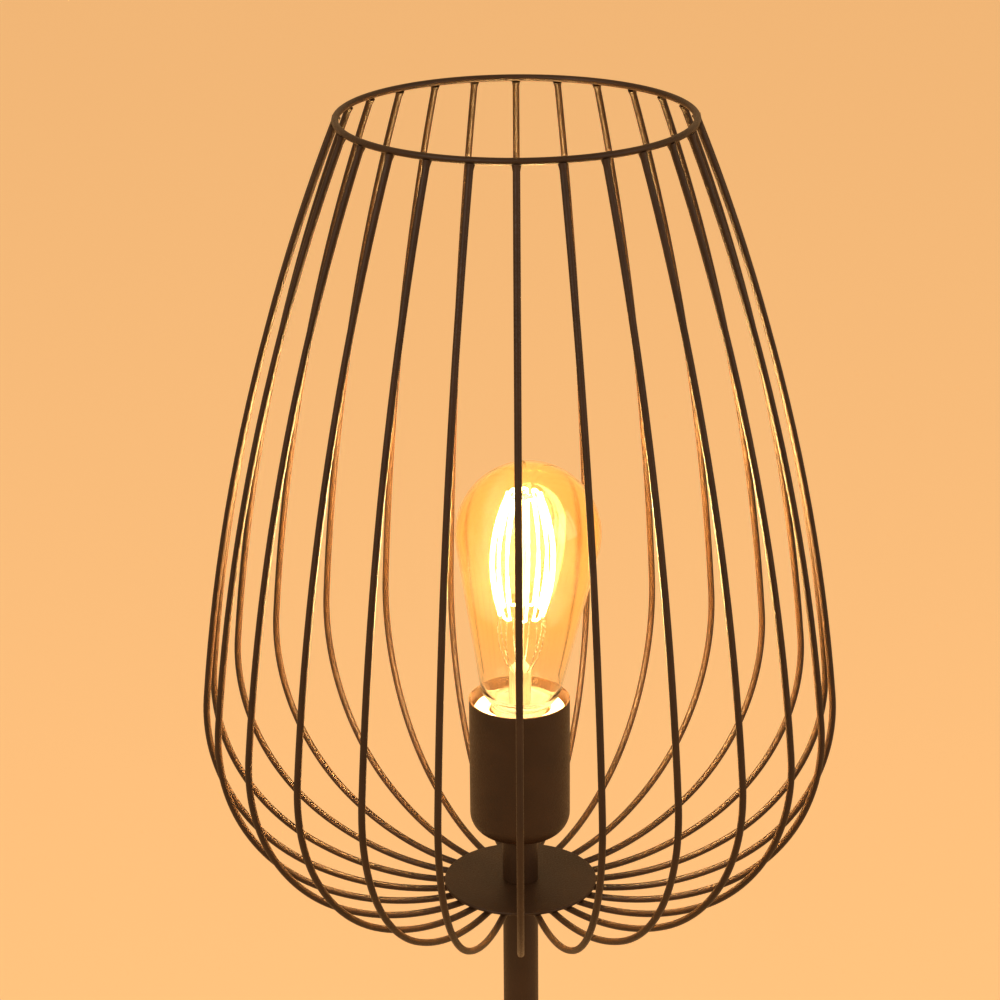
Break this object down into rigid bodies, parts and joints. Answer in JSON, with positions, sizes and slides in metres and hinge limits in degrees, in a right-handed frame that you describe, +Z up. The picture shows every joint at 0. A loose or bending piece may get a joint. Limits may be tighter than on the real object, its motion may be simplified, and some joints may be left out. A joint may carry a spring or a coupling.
{
  "type": "floor lamp",
  "caption": "Floor lamp with an open cage of bent wires round a screw-in bulb in a metal cup, on a slim round pole and a weighted round base.",
  "frame": {"origin": "middle of the base, on the floor", "axes": "+Z up the pole, -Y to the front, where the picture was taken from, +X to the right of the front view"},
  "size_m": [0.278, 0.2798, 1.3741],
  "materials": {
    "black_paint": "fine matte powder coat",
    "cast_iron": "rough casting",
    "zinc_steel": "zinc plated",
    "rubber": "matte",
    "black_plastic": "matte",
    "core_insulation": "satin",
    "white_ceramic": "glazed",
    "brass": "stamped",
    "nickel": "nickel plated",
    "solder": "soft solder",
    "amber_glass": "clear, amber tint",
    "clear_glass": "clear",
    "black_glass": "gloss",
    "filament": "lit"
  },
  "bodies": {
    "stand": {"base_bottom_plate": "zinc_steel", "base_cover": "black_paint", "base_nut": "zinc_steel", "base_rod": "zinc_steel", "base_washers": "zinc_steel", "base_weight": "cast_iron", "bottom_plate_screws": "zinc_steel", "cable_bush": "black_plastic", "cage_disc": "black_paint", "cage_ring": "black_paint", "cage_wire_01": "black_paint", "cage_wire_02": "black_paint", "cage_wire_03": "black_paint", "cage_wire_04": "black_paint", "cage_wire_05": "black_paint", "cage_wire_06": "black_paint", "cage_wire_07": "black_paint", "cage_wire_08": "black_paint", "cage_wire_09": "black_paint", "cage_wire_10": "black_paint", "cage_wire_11": "black_paint", "cage_wire_12": "black_paint", "cage_wire_13": "black_paint", "cage_wire_14": "black_paint", "cage_wire_15": "black_paint", "cage_wire_16": "black_paint", "cage_wire_17": "black_paint", "cage_wire_18": "black_paint", "cage_wire_19": "black_paint", "cage_wire_20": "black_paint", "cage_wire_21": "black_paint", "cage_wire_22": "black_paint", "cage_wire_23": "black_paint", "cage_wire_24": "black_paint", "cage_wire_25": "black_paint", "cage_wire_26": "black_paint", "cup_nut": "zinc_steel", "head_rod": "zinc_steel", "holder_base": "white_ceramic", "holder_body": "white_ceramic", "holder_cup": "black_paint", "lead_cores": "core_insulation", "lead_sheath": "black_plastic", "neck_tube": "black_paint", "pole_end_bushes": "zinc_steel", "pole_lower": "black_paint", "pole_middle": "black_paint", "pole_studs": "zinc_steel", "pole_upper": "black_paint", "rubber_feet": "rubber", "screw_shell": "brass", "terminal_screws": "brass"},
    "bulb_tip": {"bulb_tip_contact": "solder", "bulb_insulator": "black_glass"},
    "bulb": {"bulb_cap": "nickel", "bulb_glass": "amber_glass", "bulb_stem": "clear_glass", "bulb_filament": "filament", "filament_supports": "nickel"},
    "contact_tongue": {"centre_contact": "brass"}
  },
  "joints": [
    {"name": "bulb_lift", "type": "slide", "parent": "stand", "child": "bulb_tip", "axis": [0, 0, 1], "range_m": [0, 0.0182]},
    {"name": "bulb_turn", "type": "hinge", "parent": "bulb_tip", "child": "bulb", "pos_m": [0, 0, 1.0937], "axis": [0, 0, 1], "range_deg": [0, 1800]},
    {"name": "contact_flex", "type": "hinge", "parent": "stand", "child": "contact_tongue", "pos_m": [-0.009, 0, 1.0741], "axis": [0, 1, 0], "range_deg": [0, 8], "stiffness_Nm_per_rad": 0.16}
  ],
  "couplings": [
    {"joint": "bulb_lift", "follows": "bulb_turn", "m_per_rad": 0.00057757}
  ]
}
